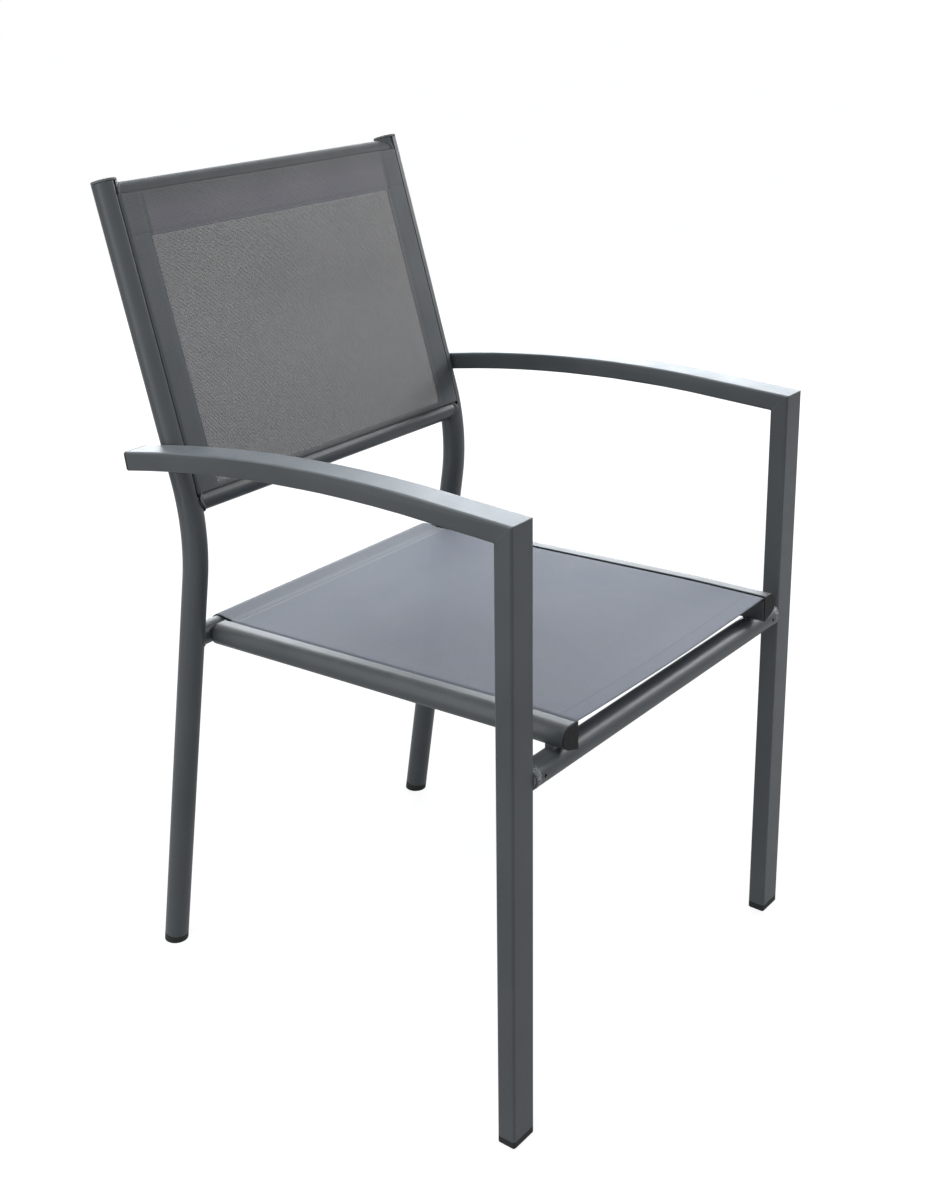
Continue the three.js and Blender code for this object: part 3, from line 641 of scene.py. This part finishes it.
def cloth_piece(name, across, along, place, thickness, notched=None):
    """A woven sheet: a grid laid over two lines and shaped from both, notched, then given its thickness."""
    bpy.ops.object.select_all(action="DESELECT")
    bpy.ops.mesh.primitive_grid_add(x_subdivisions=len(across) - 1, y_subdivisions=len(along) - 1,
                                    size=1)
    sheet = bpy.context.object
    sheet.name = name
    sheet.data.name = name
    spots = {}
    for vertex in sheet.data.vertices:
        i = round((vertex.co.x + 0.5) * (len(across) - 1))
        j = round((vertex.co.y + 0.5) * (len(along) - 1))
        spots[vertex.index] = (across[i][1], along[j][1])
        vertex.co = place(across[i][0], along[j][0])
    laid = sheet.data.uv_layers.active.data
    for loop in sheet.data.loops:
        laid[loop.index].uv = spots[loop.vertex_index]
    only(sheet)
    if notched:
        bpy.ops.object.mode_set(mode="EDIT")
        bpy.ops.mesh.select_mode(type="VERT")
        bpy.ops.mesh.select_all(action="DESELECT")
        bpy.ops.object.mode_set(mode="OBJECT")
        for vertex in sheet.data.vertices:
            vertex.select = notched(*spots[vertex.index])
        bpy.ops.object.mode_set(mode="EDIT")
        bpy.ops.mesh.delete(type="VERT")
        bpy.ops.object.mode_set(mode="OBJECT")
    wall = sheet.modifiers.new("thickness", "SOLIDIFY")
    wall.thickness = thickness
    wall.offset = 0
    bpy.ops.object.modifier_apply(modifier="thickness")
    bpy.ops.object.shade_smooth_by_angle(angle=math.radians(50))
    return sheet


# The cloth itself, its fold, its front hem and its seams, and how far it hangs.
CLOTH_THICK, CLOTH_STEP, FOLD, HEM = 0.0007, 0.0024, 0.00045, 0.022
SEAM_MARGIN, SEAM_SPREAD, SEAT_DRAWN = 0.002, 0.0016, 0.0002
SEAT_SAG, SAG_FROM, SAG_TO = 0.004, 0.012, 0.110
FRONT_TAUT, TAUT_REACH, UNEVEN = 0.25, 0.05, 0.05
# Its line along the rails, which bend where their front part meets the rear one.
SEAT_LIFT, SEAT_EASE = 0.00025, 0.03
seat_front, seat_bend, seat_rear = -0.2934, -0.1982, 0.17214
seat_slope_front, seat_slope_rear = math.tan(math.radians(0.8)), 0.04187
seat_edge_level = 0.43626
# The pocket round the tube behind: its sewn overlap, and its wider cut between the rails' ends.
WRAP_RADIUS, WRAP_STEPS, PAST_RAILS = 0.01375, 32, 0.002
OVERLAP, UNDERLAP, POCKET_WIDER, NOTCH_SPARE = 0.012, 0.0012, 0.0023, 0.0001


def at_rails(y, below=0.0):
    """A place on the cloth's line along the rails, eased over the bend in them."""
    ahead = y - seat_bend
    level = seat_edge_level - (seat_slope_front if ahead < 0 else seat_slope_rear) * ahead
    if abs(ahead) < SEAT_EASE:
        share = (ahead + SEAT_EASE) / (2 * SEAT_EASE)
        slope = seat_slope_front + (seat_slope_rear - seat_slope_front) * share / 2
        level = seat_edge_level + seat_slope_front * SEAT_EASE - slope * (ahead + SEAT_EASE)
    return Vector((0, y, level + SEAT_LIFT - below))


def touch_angle(start, centre, radius, side):
    """The angle round a tube at which a line from a place just touches it, from over or under."""
    way = centre - start
    rise = math.atan2(way.z, way.y) + side * math.asin(radius / math.hypot(way.y, way.z))
    return rise + side * math.pi / 2


flat_half = 0.1826
right_turn = turned(Vector((-0.1850, 0, 0)), Vector((-flat_half, 0, 0)), Vector((-0.1871, 0, -0.0013)))
half_across = [Vector((-0.1900, 0, -0.0030))] + right_turn[::-1]
seat_across_line = half_across + [Vector((-p.x, 0, p.z)) for p in half_across[::-1]]
front_tip = at_rails(seat_front, FOLD)
seat_line = [at_rails(seat_front + HEM, 2 * FOLD), at_rails(seat_front + FOLD, 2 * FOLD)]
seat_line += turned(at_rails(seat_front, 2 * FOLD), seat_line[-1], front_tip, 3)[1:]
seat_line += turned(at_rails(seat_front), front_tip, at_rails(seat_front + FOLD), 3)[1:]
rails_length, rails_steps = seat_rear - seat_front - FOLD, 180
for i in range(1, rails_steps + 1):
    seat_line.append(at_rails(seat_front + FOLD + rails_length * i / rails_steps))
rails_end = len(seat_line) - 1
lift = at_rails(seat_rear + PAST_RAILS)
lap = at_rails(seat_rear, UNDERLAP)
over = touch_angle(lift, seat_tube, WRAP_RADIUS, 1)
under = touch_angle(lap, seat_tube, WRAP_RADIUS, -1)
seat_line += [lift]
for i in range(WRAP_STEPS + 1):
    angle = over + (under - over) * i / WRAP_STEPS
    seat_line.append(seat_tube + Vector((0, math.cos(angle), math.sin(angle))) * WRAP_RADIUS)
seat_line += [lap, at_rails(seat_rear - OVERLAP, UNDERLAP)]
seat_seam_lines = {"front": seat_front + HEM - SEAM_MARGIN, "pocket": seat_rear - OVERLAP / 2}


def seat_sag(x, y):
    """How far the cloth hangs below its line along the rails."""
    from_rear = min(1.0, max(0.0, (seat_rear - y - SAG_FROM) / (SAG_TO - SAG_FROM)))
    settled = from_rear ** 2 * (3 - 2 * from_rear)
    taut = 1 - FRONT_TAUT + FRONT_TAUT * min(1.0, max(0.0, y - seat_front) / TAUT_REACH)
    uneven = 1 + UNEVEN * math.sin(31 * x + 1) * math.sin(23 * y + 2)
    return SEAT_SAG * max(0.0, 1 - (x / flat_half) ** 2) * settled * taut * uneven


def drawn_down(off, depth):
    """How far a seam draws the cloth down at a distance from it."""
    return depth * math.exp(-(off / SEAM_SPREAD) ** 2)


def seat_place(across, along):
    """A place on the seat, let down in the middle and drawn in a little along its seams."""
    seam = 0.0
    if along.z > seat_tube.z:
        seam = sum(drawn_down(along.y - seam_y, SEAT_DRAWN) for seam_y in seat_seam_lines.values())
    return Vector((across.x, along.y, along.z + across.z - seat_sag(across.x, along.y) - seam))


seat_across = fine_line(seat_across_line, CLOTH_STEP)
seat_along = fine_line(seat_line, CLOTH_STEP)
rails_run = sum((b - a).length for a, b in zip(seat_line[:rails_end], seat_line[1:rails_end + 1]))
tuck_run = (half_across[0] - half_across[1]).length
tuck_run += sum((b - a).length for a, b in zip(right_turn, right_turn[1:]))


def seat_notch(across, along):
    """The two corners cut away where the pocket runs between the ends of the rails."""
    outside = min(across, seat_across[-1][1] - across) < tuck_run - POCKET_WIDER
    return outside and along > rails_run + NOTCH_SPARE


# The pocket's overlap is the seat's doubled end, painted a little paler and greyer than the seat: a painted
# sheen where the cloth rounds over the tube. It reaches past both edges and has no painted shade band.
SEAT_SLATE, POCKET_SHEEN_SLATE = (106, 111, 123), (109, 113, 121)
pocket = {"start": rails_run - OVERLAP, "middle": seat_across[-1][1] / 2, "reach": 2 * flat_half,
          "colour": POCKET_SHEEN_SLATE, "side": SEAT_SLATE, "tube_shade_band": (1.0, 1.1)}
seat_mesh = mesh_cloth("slate seat mesh", SEAT_SLATE, 0.03, roughness=0.68, hem=pocket)
seat = cloth_piece("seat_cloth", seat_across, seat_along, seat_place, CLOTH_THICK, seat_notch)
dressed(seat, seat_mesh, "seat_cloth", "seat_fabric")

STITCH_PITCH, STITCH_SIZE = 0.0034, (0.0013, 0.00030, 0.00026)
STITCH_SINK = 0.00012


def thread(name, colour):
    """Bonded polyester thread with a slight twist."""
    material, tree, shader = blank(name)
    where = object_place(tree)
    tone = spread(tree, clouds(tree, where, scale=700), 0.3, 0.7)
    feed(tree, shader.inputs["Base Color"], tinted(tree, tone, colour, 0.8, 1.15))
    shader.inputs["Roughness"].default_value = 0.55
    raised(tree, shader, clouds(tree, where, scale=2600, detail=1.0), strength=0.4, distance=0.0001)
    return material


def stitch_row(name, run, laid, finish, slot):
    """A row of lockstitches: one is shaped, an array repeats it, and each is laid on the cloth."""
    bpy.ops.object.select_all(action="DESELECT")
    bpy.ops.mesh.primitive_uv_sphere_add(segments=8, ring_count=6, radius=1)
    row = bpy.context.object
    row.name = name
    row.data.name = name
    row.scale = STITCH_SIZE
    bpy.ops.object.transform_apply(location=True, rotation=True, scale=True)
    repeat = row.modifiers.new("repeat", "ARRAY")
    repeat.count = int(run / STITCH_PITCH)
    repeat.use_relative_offset = False
    repeat.use_constant_offset = True
    repeat.constant_offset_displace = (STITCH_PITCH, 0, 0)
    bpy.ops.object.modifier_apply(modifier="repeat")
    for vertex in row.data.vertices:
        vertex.co = laid(vertex.co.x + STITCH_PITCH / 2, vertex.co.y, vertex.co.z)
    bpy.ops.object.shade_smooth()
    dressed(row, finish, slot)
    return row


def seat_seam(name, seam_y):
    """A row of stitches straight across the seat."""
    def on_seat(run, off, high):
        x = run - flat_half + SEAM_MARGIN
        level = at_rails(seam_y).z - seat_sag(x, seam_y) + CLOTH_THICK / 2 - STITCH_SINK
        return Vector((x, seam_y + off, level + high))
    return stitch_row(name, 2 * flat_half - 2 * SEAM_MARGIN, on_seat, seat_thread, "seat_cloth")


seat_thread = thread("seat thread", (92, 97, 106))
seat_seams = [seat_seam(f"seat_{name}_stitches", seam_y) for name, seam_y in seat_seam_lines.items()]


# Back cloth: the same mesh stretched across the fronts of the two uprights, with a cord in each side hem.
# The top edge is turned back 49 mm and sewn, and a wide side hem runs down each upright.
BACK_LOW, BACK_HIGH, TOP_HEM, SIDE_HEM = 0.040, 0.3665, 0.0485, 0.1935
TUBE_FRONT, BACK_CLEAR, BACK_HOLLOW = 0.01469, 0.00040, 0.0012
INTO_SLOT, HEM_INTO_SLOT, BEND_IN, BACK_DRAWN = 0.0032, 0.0022, 0.0024, 0.0003
BACK_LEVEL = TUBE_FRONT + BACK_CLEAR
back_half = 0.2212
out_front = Vector((0, -back_way.z, back_way.y))
slot_in = Vector((-0.2067, 0, -0.978)).normalized()
corner = Vector((-0.2236, 0, 0))
back_turn = turned(corner, Vector((-back_half, 0, 0)), corner + slot_in * BEND_IN)
back_half_line = [corner + slot_in * INTO_SLOT] + back_turn[::-1]
back_across_line = back_half_line + [Vector((-p.x, 0, p.z)) for p in back_half_line[::-1]]
back_line = [Vector((0, BACK_LOW, 0)), Vector((0, BACK_HIGH - FOLD, 0))]
back_line += turned(Vector((0, BACK_HIGH, 0)), back_line[-1], Vector((0, BACK_HIGH, -FOLD)), 3)[1:]
back_line += turned(Vector((0, BACK_HIGH, -2 * FOLD)), back_line[-1],
                    Vector((0, BACK_HIGH - FOLD, -2 * FOLD)), 3)[1:]
back_line += [Vector((0, BACK_HIGH - TOP_HEM, -2 * FOLD))]


def back_hollow(x):
    """How far the back lies behind its edges."""
    return BACK_HOLLOW * max(0.0, 1 - (x / back_half) ** 2)


def back_spot(x, rise, out):
    """A place beside the uprights: how far across, how far up them and how far out in front."""
    return Vector((x, 0, 0)) + knee + back_way * rise + out_front * out


def back_place(across, along):
    """A place on the back, drawn in a little along its seams."""
    seam = drawn_down(along.y - BACK_HIGH + TOP_HEM - SEAM_MARGIN, BACK_DRAWN)
    seam += drawn_down(abs(across.x) - SIDE_HEM - SEAM_MARGIN, BACK_DRAWN)
    out = BACK_LEVEL + across.z + along.z - back_hollow(across.x) - seam
    return back_spot(across.x, along.y, out)


back_across = fine_line(back_across_line, CLOTH_STEP)
back_along = fine_line(back_line, CLOTH_STEP)
top_hem_from = BACK_HIGH - TOP_HEM - BACK_LOW
BACK_SLATE, TOP_HEM_SLATE, SIDE_HEM_SLATE = (68, 69, 71), (80, 80, 89), (63, 69, 74)
# The top hem's colour fades out over its upper part, toward the top tube: painted shade.
top_hem = {"start": top_hem_from, "middle": back_across[-1][1] / 2, "reach": SIDE_HEM,
           "colour": TOP_HEM_SLATE, "side": SIDE_HEM_SLATE,
           "tube_shade_band": (top_hem_from + 0.024, top_hem_from + 0.046)}
back_mesh = mesh_cloth("slate back mesh", BACK_SLATE, 0.13, hem=top_hem)
back = cloth_piece("back_cloth", back_across, back_along, back_place, CLOTH_THICK)
dressed(back, back_mesh, "back_cloth", "back_fabric")

HEM_SUNK, TOP_SUNK, SINKS_FROM, SINKS_OVER, HEM_SHORTER = 0.0008, 0.0008, 0.300, 0.012, 0.001
hem_mesh = mesh_cloth("slate hem mesh", SIDE_HEM_SLATE, 0.15, shift=0.5)
strip_across = fine_line([corner + slot_in * HEM_INTO_SLOT] + back_turn[::-1] + [Vector((-SIDE_HEM, 0, 0))],
                         CLOTH_STEP)
strip_along = fine_line([Vector((0, BACK_LOW, 0)), Vector((0, BACK_HIGH - HEM_SHORTER, 0))], CLOTH_STEP)


def side_hem(side, sign):
    """The second layer of the cloth down one upright, behind the first and further back at the top."""
    def hem_place(across, along):
        sunk = HEM_SUNK + TOP_SUNK * min(1.0, max(0.0, (along.y - SINKS_FROM) / SINKS_OVER))
        out = BACK_LEVEL + across.z - back_hollow(across.x) - sunk
        return back_spot(sign * across.x, along.y, out)
    hem = cloth_piece(f"back_side_hem_{side}", strip_across, strip_along, hem_place, CLOTH_THICK)
    dressed(hem, hem_mesh, "back_cloth")
    return hem


side_hems = [side_hem("right", 1), side_hem("left", -1)]


def on_back(x, rise, high):
    """A place on the front of the back cloth, at a height above it."""
    out = BACK_LEVEL - back_hollow(x) - BACK_DRAWN + CLOTH_THICK / 2 + high
    return back_spot(x, rise, out)


def top_seam():
    """The row of stitches along the top hem."""
    seam_rise = BACK_HIGH - TOP_HEM + SEAM_MARGIN

    def laid(run, off, high):
        return on_back(run - back_half + SEAM_MARGIN, seam_rise + off, high)
    return stitch_row("back_top_hem_stitches", 2 * back_half - 2 * SEAM_MARGIN, laid, back_thread,
                      "back_cloth")


def side_seam(side, sign):
    """The row of stitches down one side hem."""
    def laid(run, off, high):
        return on_back(sign * (SIDE_HEM + SEAM_MARGIN + off), BACK_LOW + SEAM_MARGIN + run, high)
    return stitch_row(f"back_side_hem_{side}_stitches", BACK_HIGH - BACK_LOW - 2 * SEAM_MARGIN, laid,
                      back_thread, "back_cloth")


back_thread = thread("back thread", (88, 91, 94))
back_seams = [top_seam(), side_seam("right", -1), side_seam("left", 1)]


# The picture: a pale floor that keeps a faint shadow, in a white room, and the camera.
# A broad soft sun stands overhead and a weak lamp beside the chair. Two more lamps behind and in
# front of its far side are there for the gloss on the arms, the tubes and the seat.
FLOOR_REACH, FLOOR_GREY = 60, 0.42
FLOOR_WHITE, FLOOR_SEEN, FLOOR_MIRRORED = 1.02, 0.86, 0.2
ROOM_LIGHT, ROOM_WHITE, ROOM_MIRRORED = 0.32, 1.0, 0.95
WHITE = (1, 1, 1, 1)


def mirrored_rays(tree, paths):
    """Marks the rays that come off gloss or through glass."""
    return sums(tree, "MAXIMUM", paths.outputs["Is Glossy Ray"], paths.outputs["Is Transmission Ray"])


def blended(tree, seen, first, second, output):
    """Ends a tree with a mix of two shaders, by how far the second is seen."""
    blend = tree.nodes.new("ShaderNodeMixShader")
    feed(tree, blend.inputs["Fac"], seen)
    tree.links.new(first.outputs[0], blend.inputs[1])
    tree.links.new(second.outputs[0], blend.inputs[2])
    tree.links.new(blend.outputs[0], tree.nodes.new(output).inputs["Surface"])


def lit_by(tree, kind, colour, strength):
    """A shader of an even light."""
    node = tree.nodes.new(kind)
    node.inputs["Color"].default_value = colour
    node.inputs["Strength"].default_value = strength
    return node


bpy.ops.object.select_all(action="DESELECT")
bpy.ops.mesh.primitive_plane_add(size=FLOOR_REACH, location=(0, 0, 0))
floor = bpy.context.object
floor.name = "studio_floor"
floor_paint = bpy.data.materials.new("floor paint")
floor_paint.use_nodes = True
tree = floor_paint.node_tree
tree.nodes.clear()
matt = tree.nodes.new("ShaderNodeBsdfDiffuse")
paths = tree.nodes.new("ShaderNodeLightPath")
camera_ray = paths.outputs["Is Camera Ray"]
feed(tree, matt.inputs["Color"], mixed(tree, camera_ray, (FLOOR_GREY, FLOOR_GREY, FLOOR_GREY, 1), WHITE))
seen = sums(tree, "MAXIMUM", sums(tree, "MULTIPLY", camera_ray, FLOOR_SEEN),
            sums(tree, "MULTIPLY", mirrored_rays(tree, paths), FLOOR_MIRRORED))
blended(tree, seen, matt, lit_by(tree, "ShaderNodeEmission", WHITE, FLOOR_WHITE), "ShaderNodeOutputMaterial")
floor.data.materials.append(floor_paint)

world = bpy.data.worlds.new("studio")
bpy.context.scene.world = world
world.use_nodes = True
tree = world.node_tree
tree.nodes.clear()
room = lit_by(tree, "ShaderNodeBackground", (0.95, 0.97, 1.0, 1), ROOM_LIGHT)
white = lit_by(tree, "ShaderNodeBackground", WHITE, ROOM_WHITE)
paths = tree.nodes.new("ShaderNodeLightPath")
seen = sums(tree, "MAXIMUM", paths.outputs["Is Camera Ray"],
            sums(tree, "MULTIPLY", mirrored_rays(tree, paths), ROOM_MIRRORED))
blended(tree, seen, room, white, "ShaderNodeOutputWorld")


def lamp(name, kind, place, target, strength, **settings):
    """A lamp that points from its place at a target, and isn't seen itself."""
    light = bpy.data.lights.new(name, kind)
    light.energy = strength
    for setting, value in settings.items():
        setattr(light, setting, value)
    stand = bpy.data.objects.new(name, light)
    bpy.context.scene.collection.objects.link(stand)
    stand.location = place
    stand.rotation_euler = (Vector(target) - Vector(place)).to_track_quat("-Z", "Y").to_euler()
    stand.visible_camera = False


lamp("overhead", "SUN", (-2.0, -0.3, 4.0), (0, 0, 0.4), 2.0, angle=math.radians(40))
lamp("beside", "AREA", (-1.8, 0.5, 0.9), (-0.2, 0, 0.5), 7.5, shape="RECTANGLE", size=0.9, size_y=1.4)
lamp("gloss_behind", "AREA", (2.5, 2.1, 1.7), (0, 0, 0.5), 130, shape="RECTANGLE", size=3.4, size_y=2.4,
     color=(0.88, 0.94, 1.0))
lamp("gloss_front", "AREA", (2.2, -1.15, 1.7), (0, -0.28, 0.40), 30, shape="RECTANGLE", size=1.2,
     size_y=0.8)

view = bpy.data.cameras.new("camera")
view.lens = 48.975
view.shift_y = -0.1304
view.clip_end = 200
camera = bpy.data.objects.new("camera", view)
bpy.context.scene.collection.objects.link(camera)
camera.location = (-1.34877, -1.07592, 1.15123)
camera.rotation_euler = [math.radians(a) for a in (72.6589, 0.7440, -52.0812)]
bpy.context.scene.camera = camera
bpy.context.scene.view_settings.view_transform = "Standard"
